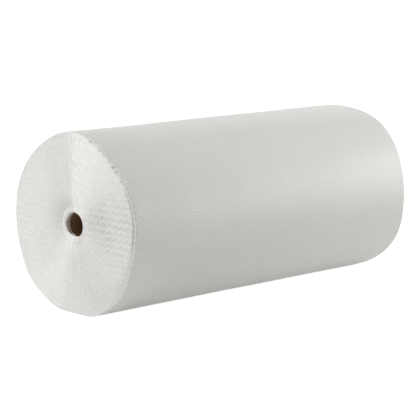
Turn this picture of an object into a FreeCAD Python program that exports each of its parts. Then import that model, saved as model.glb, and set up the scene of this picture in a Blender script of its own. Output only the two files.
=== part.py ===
import FreeCAD, Part
import os
from math import atan2, ceil, cos, degrees, exp, radians, sin
from FreeCAD import Vector

# A roll of cushioning film with air bubbles, wound on a paperboard tube and lying on its side.
# Millimetres. +X runs along the roll and +Z is up. The origin is on the surface that the roll
# lies on, under its middle, counting the last turn that stands out at the +X end. The turns of
# film are wound tight, so they are one solid.

# Driving dimensions
web_width = 1200.0          # width of the film, so the length of the roll
roll_dia = 560.0            # outer diameter
flat_depth = 8.5            # how far its own weight flattens the roll underneath
flat_width = 90.0           # width that lies on the surface
turn = 3.2                  # thickness of one turn, bubbles and all
turns_per_ring = 4          # the end faces show one ring for so many turns
ring_play = 4.0             # how far one ring may lie behind another
core_bore = 76.0            # inner diameter of the paperboard tube
core_wall = 2.5
core_setback = 28.0         # how far inside the roll each end of the tube lies
funnel_depth = 10.0         # round the tube the turns are drawn in so far
funnel_reach = 34.0
skew_top = 2.0              # the last turn ran off line: at the top its edge lies so far in,
skew_bottom = 15.0          # and at the bottom so far
tail_angle = -35.0          # where the free end of the film lies, from +Y upwards
tail_climb = 90.0           # angle over which the last turn climbs onto the one below

roll_r = roll_dia / 2
axis_z = roll_r - flat_depth
core_r = core_bore / 2 + core_wall
wound_r = roll_r - 1.1 * turn       # radius under the last turn, and a little under its start
near_end = -(web_width + skew_bottom) / 2
far_end = near_end + web_width
height = roll_dia - flat_depth
ring_width = turn * turns_per_ring
golden = (5 ** 0.5 - 1) / 2
margin = 20.0                       # how far the tools reach past what they cut
tool_start = near_end - margin
tool_length = web_width + skew_bottom + 2 * margin
along = Vector(1, 0, 0)


def on_circle(x, radius, angle, y=0.0, z=axis_z):
    """The point of a circle across the roll at an angle in degrees, from +Y upwards."""
    a = radians(angle)
    return Vector(x, y + radius * cos(a), z + radius * sin(a))


def arc(x, radius, start, end, y=0.0, z=axis_z):
    """An arc across the roll, about the point y, z."""
    points = [on_circle(x, radius, a, y, z) for a in (start, (start + end) / 2, end)]
    return Part.Arc(*points).toShape()


def line(start, end):
    return Part.LineSegment(start, end).toShape()


def prism(edges, length):
    """A closed outline across the roll, run along it."""
    return Part.Face(Part.Wire(edges)).extrude(along * length)


def flat_edges(x, radius):
    """The flat under a round section, and the easier arcs that lead into it.

    Gives the edges in order and the angles at which the round part stops and goes on."""
    side = flat_width / 2
    drop = radius - flat_depth
    blend = (radius ** 2 - drop ** 2 - side ** 2) / (2 * flat_depth)
    turned = degrees(atan2(drop - blend, side))
    floor = axis_z - drop
    middle = floor + blend
    edges = [
        arc(x, blend, 180 + turned, 270, -side, middle),
        line(Vector(x, -side, floor), Vector(x, side, floor)),
        arc(x, blend, 270, 360 - turned, side, middle),
    ]
    return edges, 180 + turned, 360 - turned


def wound_section(x, length):
    """All the turns but the last."""
    flat, stop, go_on = flat_edges(x, wound_r)
    round_part = arc(x, wound_r, go_on - 360, stop)
    return prism([round_part] + flat, length)


def outer_section(x, length):
    """The whole roll: the last turn climbs from its start, goes round and ends in a step."""
    flat, stop, go_on = flat_edges(x, roll_r)
    foot_r = roll_r - turn
    top = tail_angle + tail_climb
    swing = cos(radians(tail_climb))
    climb_r = (foot_r ** 2 + roll_r ** 2 - 2 * foot_r * roll_r * swing) / (2 * (roll_r - foot_r * swing))
    centre = on_circle(x, roll_r - climb_r, top)
    foot = on_circle(x, foot_r, tail_angle)
    start = degrees(atan2(foot.z - centre.z, foot.y - centre.y))
    climb = arc(x, climb_r, start, top, centre.y, centre.z)
    tip = on_circle(x, roll_r, tail_angle)
    edges = [climb, arc(x, roll_r, top, stop)] + flat
    edges += [arc(x, roll_r, go_on, tail_angle + 360), line(tip, foot)]
    return prism(edges, length)


def last_turn():
    """The outermost turn, its edges a little off line with the turns below."""
    def corner(end, z):
        shift = skew_bottom + (skew_top - skew_bottom) * z / height
        return Vector(end + shift, -roll_dia, z)

    places = [(near_end, 0), (far_end, 0), (far_end, height), (near_end, height)]
    corners = [corner(end, z) for end, z in places]
    web = Part.Face(Part.makePolygon(corners + corners[:1])).extrude(Vector(0, 2 * roll_dia, 0))
    return outer_section(tool_start, tool_length).common(web).cut(wound_section(tool_start, tool_length))


def wound_turns():
    """All the turns but the last. Their edges don't quite line up, so the end faces go in steps.

    A multiple of the golden ratio spreads the steps evenly, with no two rings beside each other
    at like depths."""
    rings = ceil((wound_r - core_r) / ring_width)
    edges = [core_r + i * ring_width for i in range(rings)] + [roll_r]
    near, far = [], []
    for i in range(rings):
        funnel = funnel_depth * exp(-(i * ring_width / funnel_reach) ** 2)
        set_back = ring_play * (i * golden % 1) + funnel
        set_in = ring_play * ((rings - i) * golden % 1) + funnel
        near += [Vector(near_end + set_back, edge, axis_z) for edge in edges[i:i + 2]]
        far += [Vector(far_end - set_in, edge, axis_z) for edge in edges[i:i + 2]]
    profile = Part.Face(Part.makePolygon(near + far[::-1] + near[:1]))
    turns = profile.revolve(Vector(0, 0, axis_z), along, 360)
    return turns.common(wound_section(tool_start, tool_length))


def bubble_film():
    return wound_turns().fuse(last_turn()).removeSplitter()


def core_tube():
    start = Vector(near_end + core_setback, 0, axis_z)
    length = web_width - 2 * core_setback
    tube = Part.makeCylinder(core_r, length, start, along)
    return tube.cut(Part.makeCylinder(core_bore / 2, length, start, along))


pieces = {"bubble_film": bubble_film(), "core_tube": core_tube()}
os.makedirs("parts", exist_ok=True)
for name, shape in pieces.items():
    solid = shape.Solids[0]
    solid.exportStep("parts/" + name + ".step")
    box = solid.BoundBox
    print(name, "solids", len(shape.Solids), "valid", solid.isValid(), "litres", round(solid.Volume / 1e6, 2))
    print("  x", round(box.XMin, 1), round(box.XMax, 1), "y", round(box.YMin, 1), round(box.YMax, 1),
          "z", round(box.ZMin, 2), round(box.ZMax, 1))
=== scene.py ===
import math

import bmesh
import bpy
import numpy as np
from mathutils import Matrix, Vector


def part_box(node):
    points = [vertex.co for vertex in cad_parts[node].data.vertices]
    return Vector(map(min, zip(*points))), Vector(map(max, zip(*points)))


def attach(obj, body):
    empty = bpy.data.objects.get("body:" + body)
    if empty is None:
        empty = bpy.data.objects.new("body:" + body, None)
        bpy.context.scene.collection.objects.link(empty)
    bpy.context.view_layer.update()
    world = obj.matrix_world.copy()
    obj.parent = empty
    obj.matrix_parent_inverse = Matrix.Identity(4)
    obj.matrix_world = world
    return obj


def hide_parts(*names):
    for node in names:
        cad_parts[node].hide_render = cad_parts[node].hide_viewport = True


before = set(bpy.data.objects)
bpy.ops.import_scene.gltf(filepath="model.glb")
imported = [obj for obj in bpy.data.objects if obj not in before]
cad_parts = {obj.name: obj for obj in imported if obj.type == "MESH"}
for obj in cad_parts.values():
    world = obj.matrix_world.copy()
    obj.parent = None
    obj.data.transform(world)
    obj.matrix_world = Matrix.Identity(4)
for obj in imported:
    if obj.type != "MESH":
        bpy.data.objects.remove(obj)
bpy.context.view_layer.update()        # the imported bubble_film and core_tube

mm = 0.001
tau = 2 * math.pi
scene = bpy.context.scene
scene.view_settings.view_transform = "Standard"

filmLow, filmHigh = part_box("bubble_film")
coreLow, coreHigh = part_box("core_tube")

# The wound film, all in millimetres and degrees. Angles go round the roll from +Y upwards.
roll = {
    "radius": -filmLow.y / mm,              # the front is round, so it gives the radius
    "axisHeight": (coreLow.z + coreHigh.z) / 2 / mm,
    "coreRadius": (coreHigh.y - coreLow.y) / 2 / mm,
    "webWidth": 1200.0,
    "nearEnd": filmLow.x / mm,
    "turn": 3.2,
    "flatWidth": 90.0,
    "tailAngle": -35.0,
    "tailClimb": 90.0,
    "runOff": (2.0, 14.0),                  # how far the last turn is off line, at the top and underneath,
    "runOffFront": (-0.15, -1.35),          # at the front: the share at the middle, and how it grows forward
    "bubbleAlong": 11.75,                   # from bubble to bubble along the roll
    "bubbleRow": 10.0,                      # from row to row round the roll
    "bubbleRadius": 4.9,
    "slack": 0.7,                           # how uneven the wound film is
    # The soft roll isn't quite round. Each end's lumps: how many go round, how high they are, where one is.
    "nearLumps": ((2, 1.3, -38), (4, 3.5, -17), (5, 4.6, 26)),
    "farLumps": ((3, 1.6, 34), (4, 4.7, -39), (5, 2.5, -18)),
    "swell": 7.0, "swellReach": 80.0,       # the front swells a little, just inside the near end
    "swellFade": 9, "swellAt": (205, 36),
    "onFloor": (270, 32),                   # no lumps there
}
roll["farEnd"] = roll["nearEnd"] + roll["webWidth"]
roll["turns"] = (roll["radius"] - roll["coreRadius"]) / roll["turn"]
lastAngle = math.radians(roll["tailAngle"]) + tau * math.floor(roll["turns"])     # the free end
firstAngle = lastAngle - tau * roll["turns"]
wrapStart = lastAngle - tau                                                       # the last turn's start


unevenRun = {"shares": (1.0, 1.7, 2.9), "detune": (0.8, 1.25), "top": 1.6}


def drift(place, length, seed):
    # A smooth uneven run about 0, from about -1 to 1, that changes over about this length.
    draw = np.random.default_rng(seed)
    total = np.zeros_like(place)
    for share in unevenRun["shares"]:
        wave = length / (share * draw.uniform(*unevenRun["detune"]))
        total = total + np.sin(tau * place / wave + draw.uniform(0, tau)) / share
    return total / unevenRun["top"]


def around(angle, middle, width):
    # 1 at an angle in degrees round the roll, and down to 0 about this many degrees from it.
    away = (angle - math.radians(middle) + tau / 2) % tau - tau / 2
    return np.exp(-(away / math.radians(width)) ** 2)


def spiralRadius(angle):
    # Outer radius of the turn that ends at this angle, before the flat underneath.
    wound = roll["coreRadius"] + roll["turn"] * np.maximum(angle - firstAngle, 0) / tau
    climb = np.clip((angle - wrapStart) / math.radians(roll["tailClimb"]), 0, 1)
    last = roll["radius"] - roll["turn"] * (1 - np.sin(climb * tau / 4))
    return np.where(angle < wrapStart, np.minimum(wound, roll["radius"] - roll["turn"]), last)


def spiralLength(angle):
    # How much film lies between the tube and this angle.
    turned = angle - firstAngle
    return roll["coreRadius"] * turned + roll["turn"] * turned ** 2 / (2 * tau)


def spiralAngle(length):
    grow = roll["turn"] / tau
    return firstAngle + (np.sqrt(roll["coreRadius"] ** 2 + 2 * grow * length) - roll["coreRadius"]) / grow


def flattened(radius, angle):
    # The roll's own weight flattens it underneath, most of all the outer turns.
    full = roll["radius"]
    drop = roll["axisHeight"]
    side = roll["flatWidth"] / 2
    blend = (full ** 2 - drop ** 2 - side ** 2) / (2 * (full - drop))
    lean = np.abs((angle - 3 * tau / 4 + tau / 2) % tau - tau / 2)                # from straight down
    lower = blend - drop
    toward = side * np.sin(lean) - lower * np.cos(lean)
    onBlend = toward + np.sqrt(np.maximum(toward ** 2 - side ** 2 - lower ** 2 + blend ** 2, 0))
    onFlat = drop / np.maximum(np.cos(lean), 0.1)
    section = np.where(lean < math.atan2(side, drop), onFlat, onBlend)
    section = np.where(lean < math.atan2(side, drop - blend), section, full)
    return radius * (1 + (section / full - 1) * (radius / full) ** 2)


def lumps(which, angle):
    return sum(high * np.cos(count * (angle - math.radians(at))) for count, high, at in roll[which])


def acrossRoll(x, radius, angle):
    # Points in metres from places in millimetres: the section is flattened underneath and has its lumps.
    share = np.clip((x - roll["nearEnd"]) / roll["webWidth"], 0, 1)
    lump = lumps("nearLumps", angle) * (1 - share) ** 4 + lumps("farLumps", angle) * share ** 4
    inside = share * roll["webWidth"] / roll["swellReach"]
    swell = roll["swell"] * (1 - np.exp(-inside)) * np.exp(-inside / roll["swellFade"])
    swell = swell * around(angle, *roll["swellAt"])
    lump = (lump * (1 - around(angle, *roll["onFloor"])) + swell) * (radius / roll["radius"]) ** 3
    r = flattened(radius, angle) + lump
    y = r * np.cos(angle)
    z = np.maximum(roll["axisHeight"] + r * np.sin(angle), 0)
    return np.stack([x * mm, y * mm, z * mm], axis=1)


def gridPiece(name, columns, rows, place, turnOver=False, web=None, tone=None):
    # A grid of faces, each of its points moved to place(u, v), with u and v from 0 to 1.
    bm = bmesh.new()
    bmesh.ops.create_grid(bm, x_segments=columns, y_segments=rows, size=0.5)
    if turnOver:
        bmesh.ops.reverse_faces(bm, faces=bm.faces[:])
    mesh = bpy.data.meshes.new(name)
    bm.to_mesh(mesh)
    bm.free()
    flat = np.empty(len(mesh.vertices) * 3)
    mesh.vertices.foreach_get("co", flat)
    u, v = flat.reshape(-1, 3)[:, :2].T + 0.5
    mesh.vertices.foreach_set("co", place(u, v).ravel())
    if web is not None:
        corners = np.empty(len(mesh.loops), dtype=np.int32)
        mesh.loops.foreach_get("vertex_index", corners)
        layer = mesh.uv_layers.new(name="web")
        layer.data.foreach_set("uv", (web(u, v) * mm)[corners].astype(np.float32).ravel())
    if tone is not None:
        mesh.attributes.new("tone", "FLOAT", "POINT").data.foreach_set("value", tone(u, v).astype(np.float32))
    mesh.update()
    mesh.shade_smooth()
    piece = bpy.data.objects.new(name, mesh)
    scene.collection.objects.link(piece)
    return piece


def asPart(piece, node, material):
    piece.data.materials.clear()
    piece.data.materials.append(material)
    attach(piece, "root")
    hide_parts(node)


# Materials

def linear(code):
    # An sRGB hex colour as the linear colour that shaders take.
    parts = [int(code[i:i + 2], 16) / 255 for i in (1, 3, 5)]
    return [c / 12.92 if c <= 0.04045 else ((c + 0.055) / 1.055) ** 2.4 for c in parts] + [1.0]


def addNode(tree, kind, inputs=None, **settings):
    node = tree.nodes.new(kind)
    for name, value in settings.items():
        setattr(node, name, value)
    for key, value in (inputs or {}).items():
        if isinstance(value, bpy.types.NodeSocket):
            tree.links.new(value, node.inputs[key])
        else:
            node.inputs[key].default_value = value
    return node


def newMaterial(name):
    material = bpy.data.materials.new(name)
    material.use_nodes = True
    tree = material.node_tree
    tree.nodes.clear()
    return material, tree


def bubbleDistance(tree, place):
    # How far a point of the web is from the middle of its bubble, in metres.
    cell = (2 * roll["bubbleRow"] * mm, roll["bubbleAlong"] * mm, 1.0)
    found = []
    for shift in ((0.5, 0.5, 0.5), (0.0, 0.0, 0.5)):
        cells = addNode(tree, "ShaderNodeVectorMath", {0: place, 1: cell}, operation="DIVIDE")
        moved = addNode(tree, "ShaderNodeVectorMath", {0: cells.outputs[0], 1: shift}, operation="ADD")
        part = addNode(tree, "ShaderNodeVectorMath", {0: moved.outputs[0]}, operation="FRACTION")
        middle = addNode(tree, "ShaderNodeVectorMath", {0: part.outputs[0], 1: (0.5, 0.5, 0.5)},
                         operation="SUBTRACT")
        real = addNode(tree, "ShaderNodeVectorMath", {0: middle.outputs[0], 1: cell}, operation="MULTIPLY")
        flat = addNode(tree, "ShaderNodeVectorMath", {0: real.outputs[0], 1: (1.0, 1.0, 0.0)},
                       operation="MULTIPLY")
        size = addNode(tree, "ShaderNodeVectorMath", {0: flat.outputs[0]}, operation="LENGTH")
        found.append(size.outputs["Value"])
    return addNode(tree, "ShaderNodeMath", {0: found[0], 1: found[1]}, operation="MINIMUM").outputs[0]


def bubbleWebMaterial():
    # Blown polyethylene film: milky clear, slightly waxy, a soft broad sheen over air.
    finish = {
        "clear": "#dbdbd7", "milky": "#e2e2df", "rim": "#cccbc6", "rimShare": 0.35, "rimFrom": 0.82,
        "roughness": 0.36, "wrinkle": 22 * mm, "haze": 190 * mm,
    }
    material, tree = newMaterial("lowDensityPolyethyleneWeb")
    place = addNode(tree, "ShaderNodeUVMap", uv_map="web").outputs[0]
    object_ = addNode(tree, "ShaderNodeTexCoord").outputs["Object"]
    distance = bubbleDistance(tree, place)
    radius = roll["bubbleRadius"] * mm
    rim = addNode(tree, "ShaderNodeMapRange", {0: distance, 1: radius * finish["rimFrom"], 2: radius},
                  interpolation_type="SMOOTHSTEP").outputs[0]
    haze = addNode(tree, "ShaderNodeTexNoise", {
        "Vector": object_, "Scale": 1 / finish["haze"], "Detail": 3.0})
    tone = addNode(tree, "ShaderNodeMix", {
        0: haze.outputs[0], 6: linear(finish["clear"]), 7: linear(finish["milky"])}, data_type="RGBA").outputs[2]
    faint = addNode(tree, "ShaderNodeMath", {0: rim, 1: finish["rimShare"]}, operation="MULTIPLY").outputs[0]
    colour = addNode(tree, "ShaderNodeMix", {0: faint, 6: tone, 7: linear(finish["rim"])},
                     data_type="RGBA").outputs[2]
    wrinkle = addNode(tree, "ShaderNodeTexNoise", {
        "Vector": object_, "Scale": 1 / finish["wrinkle"], "Detail": 4.0})
    dome = addNode(tree, "ShaderNodeMapRange", {0: distance, 1: 0.0, 2: radius, 3: 1.0, 4: 0.0},
                   interpolation_type="SMOOTHSTEP").outputs[0]
    domes = addNode(tree, "ShaderNodeBump", {"Strength": 0.3, "Distance": 0.5 * mm, "Height": dome})
    skin = addNode(tree, "ShaderNodeBump", {
        "Strength": 0.35, "Distance": 0.6 * mm, "Height": wrinkle.outputs[0], "Normal": domes.outputs[0]})
    shader = addNode(tree, "ShaderNodeBsdfPrincipled", {
        "Base Color": colour, "Roughness": finish["roughness"], "IOR": 1.51, "Specular IOR Level": 0.85,
        "Subsurface Weight": 0.3, "Subsurface Radius": (1.0, 1.0, 1.0), "Subsurface Scale": 4 * mm,
        "Normal": skin.outputs[0]})
    addNode(tree, "ShaderNodeOutputMaterial", {"Surface": shader.outputs[0]})
    return material


def filmEdgeMaterial():
    # Cut edges of the same film, one turn on another: whiter than the web, with hardly any sheen, greyed with
    # painted shade in the pockets. Below 0 the tone turns dark brown: painted shade inside torn bubbles, in the
    # notches and along the creased hem's edges.
    finish = {
        # Painted shade: the grey for pockets and creases, the dark brown for holes and crevices
        "torn": "#55483a", "paintedShade": "#a9a9a3", "light": "#f6f6f5",
        "roughness": 0.5, "streak": 60 * mm, "uneven": 0.1, "grain": 7 * mm, "grainTone": 0.22,
    }
    material, tree = newMaterial("cutPolyethyleneEdges")
    object_ = addNode(tree, "ShaderNodeTexCoord").outputs["Object"]
    streak = addNode(tree, "ShaderNodeTexNoise", {
        "Vector": object_, "Scale": 1 / finish["streak"], "Detail": 3.0})
    grain = addNode(tree, "ShaderNodeTexNoise", {
        "Vector": object_, "Scale": 1 / finish["grain"], "Detail": 1.0})
    given = addNode(tree, "ShaderNodeAttribute", attribute_name="tone").outputs["Fac"]
    broad = addNode(tree, "ShaderNodeMath", {0: streak.outputs[0], 1: 0.5}, operation="SUBTRACT")
    fine = addNode(tree, "ShaderNodeMath", {0: grain.outputs[0], 1: 0.5}, operation="SUBTRACT")
    first = addNode(tree, "ShaderNodeMath", {0: broad.outputs[0], 1: finish["uneven"], 2: given},
                    operation="MULTIPLY_ADD")
    share = addNode(tree, "ShaderNodeMath", {0: fine.outputs[0], 1: finish["grainTone"], 2: first.outputs[0]},
                    operation="MULTIPLY_ADD")
    cut = addNode(tree, "ShaderNodeMix", {
        0: share.outputs[0], 6: linear(finish["paintedShade"]), 7: linear(finish["light"])}, data_type="RGBA").outputs[2]
    deep = addNode(tree, "ShaderNodeMath", {0: given, 1: -1.0}, operation="MULTIPLY", use_clamp=True)
    tone = addNode(tree, "ShaderNodeMix", {0: deep.outputs[0], 6: cut, 7: linear(finish["torn"])},
                   data_type="RGBA").outputs[2]
    shader = addNode(tree, "ShaderNodeBsdfPrincipled", {
        "Base Color": tone, "Roughness": finish["roughness"], "IOR": 1.51,
        "Subsurface Weight": 0.3, "Subsurface Radius": (1.0, 1.0, 1.0), "Subsurface Scale": 3 * mm})
    addNode(tree, "ShaderNodeOutputMaterial", {"Surface": shader.outputs[0]})
    return material


def mouthMaterial():
    # The inmost turn of film: white at the lip, brownish grey deeper in, partly the board showing through and
    # partly painted shade.
    finish = {"lip": "#f0f0ee", "overBoardAndShade": "#d6ccc2", "roughness": 0.45, "crease": 14 * mm}
    material, tree = newMaterial("filmOverPaperboard")
    object_ = addNode(tree, "ShaderNodeTexCoord").outputs["Object"]
    crease = addNode(tree, "ShaderNodeTexNoise", {
        "Vector": object_, "Scale": 1 / finish["crease"], "Detail": 3.0})
    given = addNode(tree, "ShaderNodeAttribute", attribute_name="tone").outputs["Fac"]
    colour = addNode(tree, "ShaderNodeMix", {
        0: given, 6: linear(finish["overBoardAndShade"]), 7: linear(finish["lip"])}, data_type="RGBA").outputs[2]
    bump = addNode(tree, "ShaderNodeBump", {"Strength": 0.5, "Distance": 1 * mm, "Height": crease.outputs[0]})
    shader = addNode(tree, "ShaderNodeBsdfPrincipled", {
        "Base Color": colour, "Roughness": finish["roughness"], "IOR": 1.51, "Normal": bump.outputs[0]})
    addNode(tree, "ShaderNodeOutputMaterial", {"Surface": shader.outputs[0]})
    return material


def paperboardMaterial():
    # Uncoated brown paperboard, wound in a spiral and glued: dull, flecked with fibre.
    finish = {
        "board": "#6b4c35", "fleck": "#83654b", "seam": "#3c2b1d",
        "roughness": 0.9, "strip": 90 * mm, "seamShare": 0.02, "fibre": 3 * mm,
    }
    material, tree = newMaterial("spiralWoundPaperboard")
    object_ = addNode(tree, "ShaderNodeTexCoord").outputs["Object"]
    fibre = addNode(tree, "ShaderNodeTexNoise", {
        "Vector": object_, "Scale": 1 / finish["fibre"], "Detail": 5.0})
    board = addNode(tree, "ShaderNodeMix", {
        0: fibre.outputs[0], 6: linear(finish["board"]), 7: linear(finish["fleck"])}, data_type="RGBA").outputs[2]
    split = addNode(tree, "ShaderNodeSeparateXYZ", {0: object_})
    height = addNode(tree, "ShaderNodeMath", {0: split.outputs["Z"], 1: roll["axisHeight"] * mm},
                     operation="SUBTRACT")
    round_ = addNode(tree, "ShaderNodeMath", {0: height.outputs[0], 1: split.outputs["Y"]},
                     operation="ARCTAN2")
    turned = addNode(tree, "ShaderNodeMath", {0: round_.outputs[0], 1: tau}, operation="DIVIDE")
    along = addNode(tree, "ShaderNodeMath", {0: split.outputs["X"], 1: finish["strip"]}, operation="DIVIDE")
    helix = addNode(tree, "ShaderNodeMath", {0: along.outputs[0], 1: turned.outputs[0]}, operation="ADD")
    part = addNode(tree, "ShaderNodeMath", {0: helix.outputs[0]}, operation="FRACT")
    seam = addNode(tree, "ShaderNodeMapRange", {
        0: part.outputs[0], 1: 0.0, 2: finish["seamShare"], 3: 1.0, 4: 0.0}).outputs[0]
    colour = addNode(tree, "ShaderNodeMix", {0: seam, 6: board, 7: linear(finish["seam"])},
                     data_type="RGBA").outputs[2]
    bump = addNode(tree, "ShaderNodeBump", {
        "Strength": 0.4, "Distance": 0.3 * mm, "Height": fibre.outputs[0]})
    shader = addNode(tree, "ShaderNodeBsdfPrincipled", {
        "Base Color": colour, "Roughness": finish["roughness"], "Normal": bump.outputs[0]})
    addNode(tree, "ShaderNodeOutputMaterial", {"Surface": shader.outputs[0]})
    return material


webMaterial = bubbleWebMaterial()
edgeMaterial = filmEdgeMaterial()
lipMaterial = mouthMaterial()
boardMaterial = paperboardMaterial()
print("materials made")


# The end faces: the cut edges of all the turns. Between two flat layers lies a wavy one, where
# the cut runs through the bubbles.

face = {
    "step": 2.5,
    "wave": 2 * roll["turn"] * math.pi,     # from pocket to pocket, nearly two rows of bubbles
    "group": 4 * roll["turn"],              # so many turns lie with their bubbles one in another
    "zigzag": 4.2,                          # how far the pockets lean over in one group, and back in the next
    "leanMore": 0.6, "leanMoreAt": (90, 30),
    "wander": ((1.6, 130.0), (1.2, 11.0)),  # how the pockets stray along and across the turns: how far, over what
    "valley": 1.1,
    "setBack": 1.8, "uneven": 0.7,          # how far in the turns lie, and how unevenly
    "runsAlong": ((0.5, 260.0), (0.3, 70.0)), "runsAcross": (0.25, 27.0),
    # How clearly the pockets show: everywhere, least, in the last turn, in runs, and where more or less
    "clear": 0.27, "clearLeast": 0.03, "clearLast": 0.35, "clearRuns": ((0.1, 310.0), (0.1, 47.0)),
    "clearer": ((0, 55, 0.16), (92, 20, 0.3), (178, 40, 0.1), (226, 26, -0.06)),
    "funnel": 11.0, "funnelReach": 34.0,    # the inmost turns are drawn in, round the tube
    "ring": 3.2, "ringRadius": 47.0,        # the raised ring round the mouth
    # The ring's lighter tone is a painted highlight
    "ringWidth": 6, "ringHighlight": 0.14, "ringHighlightWidth": 7,
    "slope": 14.0, "slopeShare": 0.8,       # low at the front the outmost turns slope off over so much
    "slopeAt": (220, 22),
    # Torn bubbles in the last turns: where, and how deep; their dark insides are painted shade
    "pits": ((109, 1.0), (118.5, 0.8), (123, 0.35), (134, 1.0), (138, 0.4)),
    "pitDepth": 8.0, "pitWidth": 0.85, "pitShadeTone": 1.8,
    # The cut edges' base tone, and how much painted shade darkens the pockets
    "tone": 0.8, "pocketShadeTone": 0.5,
    # Painted light and shade in patches across the turns: angle, width, radius, reach, how much lighter
    "paintedPatches": (
        (112, 24, 200, 110, 0.04), (172, 30, 110, 75, -0.18), (268, 16, 120, 70, -0.10),
        (224, 22, 274, 8, 0.25), (22, 45, 200, 110, 0.11), (210, 25, 150, 90, 0.05),
        (318, 22, 130, 60, -0.06),
    ),
    # A painted line of light and shade, lighter on one side of it than the other
    "shadeLine": 89.0, "shadeLineWidth": 2.5, "shadeLineReach": 22.0, "shadeLineTone": 0.08,
}


def offLine(angle):
    # How far the last turn has run off line, at the front only.
    top, under = roll["runOff"]
    middle, grow = roll["runOffFront"]
    front = np.clip(middle + grow * np.cos(angle), 0, 1)
    return (top + (under - top) * (1 - np.sin(angle)) / 2) * front


def cutLevel(angle, end):
    # How far in from the end a turn's edge lies.
    s = spiralLength(angle)
    seed = 21 if end == "nearEnd" else 31
    radius = spiralRadius(angle)
    (broad, broadRun), (fine, fineRun) = face["runsAlong"]
    across, acrossRun = face["runsAcross"]
    uneven = broad * drift(s, broadRun, seed) + fine * drift(s, fineRun, seed + 1)
    uneven = uneven + across * drift(radius, acrossRun, seed + 2)
    funnel = face["funnel"] * np.exp(-((radius - roll["coreRadius"]) / face["funnelReach"]) ** 2)
    ring = face["ring"] * np.exp(-((radius - face["ringRadius"]) / face["ringWidth"]) ** 2)
    outmost = np.clip(1 - (roll["radius"] - roll["turn"] - radius) / face["slope"], 0, 1)
    slope = offLine(angle) * outmost * around(angle, *face["slopeAt"]) * (1 if end == "nearEnd" else -1)
    return face["setBack"] + face["uneven"] * uneven + funnel - ring + face["slopeShare"] * slope


# The web: the last turn's outer side, with its bubbles

web = {
    "panels": 4, "perBubble": 4, "perRow": 4, "edgeFade": 5.0,
    "setBack": 0.5,                         # how far in the edge lies from the turn below
    "bubbleHeight": 2.2, "flatter": 0.85,   # at the near end, and the share lost by the far end
    "pressed": 0.65, "pressedAt": (246, 26),        # the share lost low at the front, toward the floor
    "slackAlong": 420.0, "slackAcross": 500.0, "slackLean": 0.4,
}


def lastEdge(angle, end):
    # Where the last turn's cut edge lies.
    inward = 1 if end == "nearEnd" else -1
    return roll[end] + inward * (cutLevel(angle - tau, end) + web["setBack"]) + offLine(angle)


def bubbleHeight(s, x):
    # Height of the bubbles' domes at a place on the flat web, from 0 to 1.
    row, along = roll["bubbleRow"], roll["bubbleAlong"]
    nearest = np.full_like(s, np.inf)
    base = np.round(s / row)
    for step in (-1, 0, 1):
        line = base + step
        offset = x - along * (line % 2) / 2
        aside = offset - along * np.round(offset / along)
        nearest = np.minimum(nearest, np.hypot(aside, s - line * row))
    return np.clip(1 - (nearest / roll["bubbleRadius"]) ** 2, 0, 1)


def webPlace(angle, share):
    # Along, out from the axis and round, for a point of the web.
    near, far = lastEdge(angle, "nearEnd"), lastEdge(angle, "farEnd")
    x = near + (far - near) * share
    s = roll["radius"] * (angle - wrapStart)
    fade = np.clip(np.minimum(x - near, far - x) / web["edgeFade"], 0, 1)
    uneven = drift(s, web["slackAlong"], 11) + drift(x + web["slackLean"] * s, web["slackAcross"], 12)
    uneven = roll["slack"] * uneven / 2
    height = web["bubbleHeight"] * (1 - web["flatter"] * np.sqrt(share))
    height = height * (1 - web["pressed"] * around(angle, *web["pressedAt"]))
    radius = spiralRadius(angle) + (height * bubbleHeight(s, x) + uneven) * fade
    return x, radius, s


def makeWeb():
    rows = round(tau * roll["radius"] / roll["bubbleRow"]) * web["perRow"] // web["panels"]
    columns = round(roll["webWidth"] / roll["bubbleAlong"]) * web["perBubble"]
    quarter = tau / web["panels"]
    for i in range(web["panels"]):
        start = wrapStart + i * quarter

        def place(u, v):
            angle = start + v * quarter
            x, radius, s = webPlace(angle, u)
            return acrossRoll(x, radius, angle)

        def onWeb(u, v):
            x, radius, s = webPlace(start + v * quarter, u)
            return np.stack([s, x], axis=1)

        piece = gridPiece("filmWeb%d" % (i + 1), columns, rows, place, turnOver=True, web=onWeb)
        asPart(piece, "bubble_film", webMaterial)


makeWeb()
print("web made")


def tornPits(angle, width):
    return sum(deep * around(angle, middle, width) for middle, deep in face["pits"])


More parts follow.
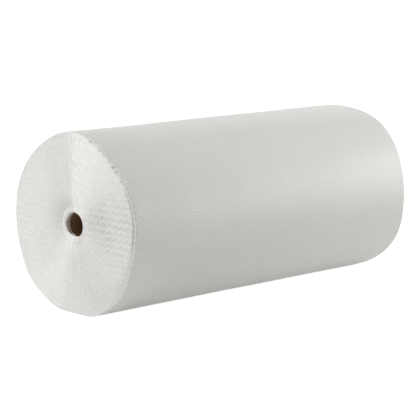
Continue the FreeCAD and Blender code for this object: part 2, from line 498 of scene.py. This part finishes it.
def makeFace(name, end, inward):
    total = spiralLength(np.array([lastAngle]))[0]
    columns = round(total / face["step"])
    pocketsRound = round(tau * face["group"] / face["wave"])        # so many more in each group

    def rows(u):
        # For a place along the film: its angle, its turn's radius, how open its pocket is, how torn it is.
        angle = spiralAngle(u * total)
        outer = spiralRadius(angle)
        s = spiralLength(angle)
        group = np.floor(outer / face["group"])
        pockets = pocketsRound * group * (angle - tau / 2) / tau
        swing = np.abs((outer / face["group"] / 2) % 1 - 0.5) * 4 - 1
        lean = face["zigzag"] * (1 + face["leanMore"] * around(angle, *face["leanMoreAt"]))
        (strayAlong, alongRun), (strayAcross, acrossRun) = face["wander"]
        stray = lean * swing + strayAlong * drift(s, alongRun, 52) + strayAcross * drift(outer, acrossRun, 53)
        row = pockets + stray / face["wave"]
        (broad, broadRun), (fine, fineRun) = face["clearRuns"]
        clear = face["clear"] + broad * drift(s, broadRun, 54) + fine * drift(s, fineRun, 55)
        clear = clear + sum(more * around(angle, at, wide) for at, wide, more in face["clearer"])
        clear = np.clip(clear, face["clearLeast"], 1)
        clear = clear * np.where(angle > wrapStart, face["clearLast"], 1)
        along = 0.5 + 0.46 * clear * np.cos(tau * row)
        pit = tornPits(angle, 1.0) * (angle > wrapStart - tau / 2)
        return angle, outer, np.maximum(along, face["pitWidth"] * pit), pit

    def place(u, v):
        angle, outer, along, pit = rows(u)
        inner = spiralRadius(angle - tau)
        gap = outer - inner
        line = np.round(v * 3)
        share = np.select([line == 0, line == 1, line == 2], [0, along * 0.5, along], 1)
        inLast = angle > wrapStart
        own = np.where(inLast, inward * (lastEdge(angle, end) - roll[end]), cutLevel(angle, end))
        below = np.where(inLast, own, cutLevel(angle - tau, end))
        level = below + (own - below) * share
        depth = np.where(line == 1, face["valley"] * along * gap + face["pitDepth"] * pit, 0)
        x = roll[end] + inward * (level + depth)
        return acrossRoll(x, inner + gap * share, angle)

    # Painted light and shade on the cut edges: lighter and darker patches, a lighter ring round the mouth, a line
    # lighter on one side than the other, and painted shade in the pockets and torn bubbles.
    def tone(u, v):
        angle, outer, along, pit = rows(u)
        paintedPatches = sum(lighter * around(angle, at, wide) * np.exp(-((outer - radius) / reach) ** 2)
                      for at, wide, radius, reach, lighter in face["paintedPatches"])
        ring = face["ringHighlight"] * np.exp(-((outer - face["ringRadius"]) / face["ringHighlightWidth"]) ** 2)
        shadeLine = np.tanh(np.sin(angle - math.radians(face["shadeLine"])) / math.radians(face["shadeLineWidth"]))
        shadeLine = shadeLine * around(angle, face["shadeLine"], face["shadeLineReach"])
        line = np.round(v * 3)
        paintedShade = np.where(line == 1, face["pocketShadeTone"] * along, 0)
        paintedShade = paintedShade + np.where((line == 1) | (line == 2), face["pitShadeTone"] * pit, 0)
        return face["tone"] + paintedPatches + ring + face["shadeLineTone"] * shadeLine - paintedShade

    piece = gridPiece(name, columns, 3, place, turnOver=inward < 0, tone=tone)
    asPart(piece, "bubble_film", edgeMaterial)


makeFace("nearTurns", "nearEnd", 1)
makeFace("farTurns", "farEnd", -1)
print("end faces made")


# The side of the turn below, where the last turn has run off line

shoulder = {
    "rows": 4, "under": 2.0,                # how far it runs in under the last turn
    "tone": 0.95, "creaseShadeAt": (166, 16),    # where painted shade darkens its creased edges
    "outerCreaseShade": 0.6, "innerCreaseShade": 0.4, "dashes": (0.75, 0.5, 19.0),
}


def makeShoulder(name, end, inward):
    columns = round(tau * roll["radius"] / face["step"])

    def place(u, v):
        angle = wrapStart + u * tau
        below = roll[end] + inward * cutLevel(angle - tau, end)
        last = lastEdge(angle, end) + (shoulder["under"] if inward > 0 else 0.0)
        return acrossRoll(below + (last - below) * v, spiralRadius(angle - tau), angle)

    # Painted shade: dark dashed lines along both creased edges of the ledge.
    def tone(u, v):
        angle = wrapStart + u * tau
        even, more, run = shoulder["dashes"]
        dashes = even + more * drift(u * tau * roll["radius"], run, 62)
        line = np.round(v * shoulder["rows"])
        edges = [shoulder["outerCreaseShade"] * dashes, shoulder["innerCreaseShade"]]
        crease = np.select([line == 0, line == shoulder["rows"]], edges, 0.0)
        return shoulder["tone"] - crease * around(angle, *shoulder["creaseShadeAt"])

    piece = gridPiece(name, columns, shoulder["rows"], place, turnOver=inward < 0, tone=tone)
    asPart(piece, "bubble_film", edgeMaterial)


makeShoulder("nearShoulder", "nearEnd", 1)
makeShoulder("farShoulder", "farEnd", -1)


# At the front the last turn's edge hangs over the ledge: torn and crumpled high up, nearly smooth below

hem = {
    "columns": 260, "rows": 8, "tone": 0.93,
    "step": 0.35,                           # the share of its width over which it climbs the ledge
    "wide": 0.6, "widest": 1.2, "raggedRuns": ((0.35, 34.0), (0.3, 11.0)),
    "crumple": 9.0, "lift": 0.4, "over": 0.3, "reach": 1,
    # Painted shade: dashes along the edges, dark notches along the smooth hem's inner edge, and dark torn bubbles
    "dashes": (0.8, 0.35, 19.0), "notchRun": 24.0, "notchShade": 1.8 * 1.3, "pitShadeTone": 1.2,
}
hems = (
    # name, from and to round the roll, how wide on the web, how ragged, how crumpled, its tone at both edges:
    # painted light and shade, lighter above the hem's tone and darker below it
    ("tornHem", 94.0, 154.0, 16.0, 1.0, 2.4, (0.85, 0.93)),
    ("creasedHem", 148.0, 190.0, 2.0, 0.5, 0.8, (0.15, -0.1)),
    ("smoothHem", 184.0, 283.0, 3.0, 0.5, 0.5, (1.05, 0.9)),
)


def makeHem(name, start, stop, wide, raggedness, crumpling, paintedEdgeTones):
    first = wrapStart + math.radians(start - roll["tailAngle"])
    reach = math.radians(stop - start)
    notched = start > 180                   # only the smooth hem

    def place(u, v):
        angle = first + reach * u
        s = roll["radius"] * angle
        (broad, broadRun), (fine, fineRun) = hem["raggedRuns"]
        ragged = raggedness * (broad * drift(s, broadRun, 71) + fine * drift(s, fineRun, 72))
        ragged = np.clip(hem["wide"] + ragged, 0.05, hem["widest"])
        ends = np.clip(np.minimum(u, 1 - u) * 9, 0, 1)
        outside = roll["nearEnd"] + cutLevel(angle - tau, "nearEnd") + hem["over"]
        inside = lastEdge(angle, "nearEnd") + hem["reach"] + wide * ragged * ends
        low, high = spiralRadius(angle - tau), spiralRadius(angle)
        crumple = 0.5 + 0.5 * drift(s + hem["crumple"] * v, hem["crumple"], 73)
        lift = hem["lift"] * np.clip(v * 4, 0, 1) + crumpling * crumple * np.sin(v * tau / 2)
        radius = low + (high - low) * np.clip(v / hem["step"], 0, 1) + lift * ends
        return acrossRoll(outside + (inside - outside) * v, radius, angle)

    # Painted light and shade along the hem's edges, with dark notches and dark torn bubbles.
    def tone(u, v):
        angle = first + reach * u
        s = roll["radius"] * angle
        fade = np.clip(np.minimum(u, 1 - u) * 7, 0, 1)
        even, more, run = hem["dashes"]
        dashes = fade * (even + more * drift(s, run, 62))
        outer, inner = [(hem["tone"] - paintedEdgeTone) * dashes for paintedEdgeTone in paintedEdgeTones]
        notch = hem["notchShade"] * np.clip(drift(s, hem["notchRun"], 61) - 0.5, 0, 1) * notched * (v > 0.8)
        pit = hem["pitShadeTone"] * tornPits(angle, 0.8) * (v > 0.05) * (v < 0.3)
        return hem["tone"] - np.select([v < 0.2, v > 0.8], [outer, inner], 0) - notch - pit

    piece = gridPiece(name, hem["columns"], hem["rows"], place, tone=tone)
    asPart(piece, "bubble_film", edgeMaterial)


for given in hems:
    makeHem(*given)


# The free end of the film, at the back near the floor

freeEnd = {"rows": 3, "bulge": 0.004, "tone": 0.8}


def makeTail():
    columns = round(roll["webWidth"] / roll["bubbleAlong"]) * web["perBubble"]

    def place(u, v):
        angle = np.full_like(u, lastAngle)
        x, top, s = webPlace(angle, u)
        bottom = roll["radius"] - roll["turn"]
        return acrossRoll(x, top + (bottom - top) * v, angle + freeEnd["bulge"] * np.sin(v * tau / 2))

    def tone(u, v):
        return np.full_like(u, freeEnd["tone"])

    piece = gridPiece("filmFreeEnd", columns, freeEnd["rows"], place, turnOver=True, tone=tone)
    asPart(piece, "bubble_film", edgeMaterial)


makeTail()


# The mouths: the inmost turn runs on past the tube's ends, and its lip is ragged

mouth = {
    "columns": 168, "rows": 12, "depth": 17.0,
    "lip": 2.5, "lipFade": 5.0,             # the lip is closest so deep, and widens again over so much
    "close": 3.0, "chords": 17,             # how far it closes, and its straight creases
    "sag": 12.0, "sagAt": (282, 32), "round": 250,
    "boardAndShadeTone": 2.4, "lightAt": (290, 36), # from the lip inward the board shows through and painted shade darkens the film, but not underneath
}


def makeMouth(name, end, inward, seed):
    def place(u, v):
        angle = firstAngle + u * tau
        depth = v * mouth["depth"]
        lip = np.clip(depth / mouth["lip"], 0, 1)
        lip = lip * np.exp(-np.maximum(depth - mouth["lip"], 0) / mouth["lipFade"])
        chord = np.abs((u * mouth["chords"]) % 1 - 0.5) * 2
        along = u * mouth["round"]
        closed = lip * (mouth["close"] * (0.3 + 0.7 * chord) + 0.5 * drift(along, 60.0, seed))
        torn = 0.7 + 0.5 * drift(along, 14.0, seed + 1)
        closed = closed + mouth["sag"] * lip * torn * around(angle, *mouth["sagAt"])
        start = cutLevel(angle, end)
        x = roll[end] + inward * (start + depth)
        return acrossRoll(x, roll["coreRadius"] - closed, angle)

    # Painted shade deeper into the mouth, mixed with the board's brown showing through; none underneath, where the
    # lip faces up.
    def tone(u, v):
        low = around(firstAngle + u * tau, *mouth["lightAt"])
        return np.clip(1.15 - v * mouth["boardAndShadeTone"], 0, 1) * (1 - low) + low

    piece = gridPiece(name, mouth["columns"], mouth["rows"], place, turnOver=inward > 0, tone=tone)
    asPart(piece, "bubble_film", lipMaterial)


makeMouth("nearMouth", "nearEnd", 1, 41)
makeMouth("farMouth", "farEnd", -1, 42)
print("edges, free end and mouths made")


# The paperboard tube

tube = {"bore": 76.0, "segments": 96, "round": 0.4, "sharp": 40}


def makeTube():
    outer = roll["coreRadius"] * mm
    inner = tube["bore"] / 2 * mm
    centre = (0, 0, roll["axisHeight"] * mm)
    bm = bmesh.new()
    corners = [(coreLow.x, inner), (coreHigh.x, inner), (coreHigh.x, outer), (coreLow.x, outer)]
    points = [bm.verts.new((x, 0, centre[2] + r)) for x, r in corners]
    edges = [bm.edges.new((points[i], points[(i + 1) % 4])) for i in range(4)]
    bmesh.ops.bevel(bm, geom=points, offset=tube["round"] * mm, offset_type="OFFSET", segments=2,
                    profile=0.5, affect="VERTICES", material=-1)
    bmesh.ops.spin(bm, geom=bm.verts[:] + bm.edges[:], cent=centre, axis=(1, 0, 0), angle=tau,
                   steps=tube["segments"], use_merge=True)
    bmesh.ops.recalc_face_normals(bm, faces=bm.faces[:])
    mesh = bpy.data.meshes.new("paperboardTube")
    bm.to_mesh(mesh)
    bm.free()
    mesh.shade_smooth()
    mesh.set_sharp_from_angle(angle=math.radians(tube["sharp"]))
    piece = bpy.data.objects.new("paperboardTube", mesh)
    scene.collection.objects.link(piece)
    asPart(piece, "core_tube", boardMaterial)


makeTube()
print("tube made")


# Floor, white surroundings, lights and camera

studio = {
    "floorSize": 40.0, "floorColour": "#e6e4e1", "floorLift": 0.75, "floorShine": 0.42, "floorGlow": 0.095,
    "skyLow": 0.21, "skyRise": 0.19,        # at the horizon, and how much more overhead
    "lights": [
        # name, place, aim, width, height, watts
        ("farHighSoftbox", (2.4, -1.3, 2.3), (0.5, 0.0, 0.3), 2.0, 2.0, 11.5),
        ("topSoftbox", (0.6, -0.7, 3.2), (0.2, 0.0, 0.3), 2.4, 2.4, 21.0),
        ("farEndSoftbox", (3.4, -1.5, 0.9), (0.5, 0.0, 0.3), 1.8, 1.8, 38.5),
        ("leftSoftbox", (-2.9, 2.0, 2.2), (-0.6, 0.0, 0.3), 1.8, 1.8, 95.0),
        ("farLowSoftbox", (2.2, -3.0, 0.8), (0.5, 0.0, 0.3), 2.0, 1.4, 7.5),
    ],
}


def makeStudio():
    bm = bmesh.new()
    bmesh.ops.create_grid(bm, x_segments=1, y_segments=1, size=studio["floorSize"] / 2)
    mesh = bpy.data.meshes.new("floor")
    bm.to_mesh(mesh)
    bm.free()
    floor = bpy.data.objects.new("floor", mesh)
    scene.collection.objects.link(floor)
    material, tree = newMaterial("paleFloor")
    paint = addNode(tree, "ShaderNodeBsdfDiffuse", {"Color": linear(studio["floorColour"])})
    ray = addNode(tree, "ShaderNodeLightPath")
    shine = addNode(tree, "ShaderNodeMath", {0: ray.outputs["Is Glossy Ray"], 1: studio["floorShine"],
                                             2: studio["floorGlow"]}, operation="MULTIPLY_ADD")
    lift = addNode(tree, "ShaderNodeMath", {0: ray.outputs["Is Camera Ray"], 1: studio["floorLift"],
                                            2: shine.outputs[0]}, operation="MULTIPLY_ADD")
    glow = addNode(tree, "ShaderNodeEmission", {"Strength": lift.outputs[0]})
    both = addNode(tree, "ShaderNodeAddShader", {0: paint.outputs[0], 1: glow.outputs[0]})
    addNode(tree, "ShaderNodeOutputMaterial", {"Surface": both.outputs[0]})
    mesh.materials.append(material)

    world = bpy.data.worlds.new("paleStudio")
    world.use_nodes = True
    tree = world.node_tree
    tree.nodes.clear()
    ray = addNode(tree, "ShaderNodeLightPath")
    seen = addNode(tree, "ShaderNodeMath", {0: ray.outputs["Is Camera Ray"], 1: ray.outputs["Is Glossy Ray"]},
                   operation="MAXIMUM")
    skyPlace = addNode(tree, "ShaderNodeTexCoord").outputs["Generated"]
    split = addNode(tree, "ShaderNodeSeparateXYZ", {0: skyPlace})
    up = addNode(tree, "ShaderNodeMath", {0: split.outputs["Z"], 1: 0.0}, operation="MAXIMUM")
    soft = addNode(tree, "ShaderNodeMath", {0: up.outputs[0], 1: studio["skyRise"], 2: studio["skyLow"]},
                   operation="MULTIPLY_ADD")
    strength = addNode(tree, "ShaderNodeMix", {0: seen.outputs[0], 2: soft.outputs[0], 3: 1.0},
                       data_type="FLOAT")
    sky = addNode(tree, "ShaderNodeBackground", {"Color": (1, 1, 1, 1), "Strength": strength.outputs[0]})
    addNode(tree, "ShaderNodeOutputWorld", {"Surface": sky.outputs[0]})
    scene.world = world

    for name, place, aim, width, height, watts in studio["lights"]:
        data = bpy.data.lights.new(name, "AREA")
        data.shape = "RECTANGLE"
        data.size = width
        data.size_y = height
        data.energy = watts
        light = bpy.data.objects.new(name, data)
        light.location = place
        toward = np.array(aim) - np.array(place)
        light.rotation_euler = (math.acos(-toward[2] / np.linalg.norm(toward)), 0,
                                math.atan2(-toward[0], toward[1]))
        scene.collection.objects.link(light)


cameraSet = {
    "place": (-4.1742, -4.4166, 1.2815), "lookDown": 9.642, "turn": 43.16,
    "lens": 163.05, "sensor": 36.0,
}


def makeCamera():
    data = bpy.data.cameras.new("photoCamera")
    data.lens = cameraSet["lens"]
    data.sensor_width = cameraSet["sensor"]
    camera = bpy.data.objects.new("photoCamera", data)
    camera.location = cameraSet["place"]
    camera.rotation_euler = (math.radians(90 - cameraSet["lookDown"]), 0, -math.radians(cameraSet["turn"]))
    scene.collection.objects.link(camera)
    scene.camera = camera


makeStudio()
makeCamera()
print("studio and camera made")
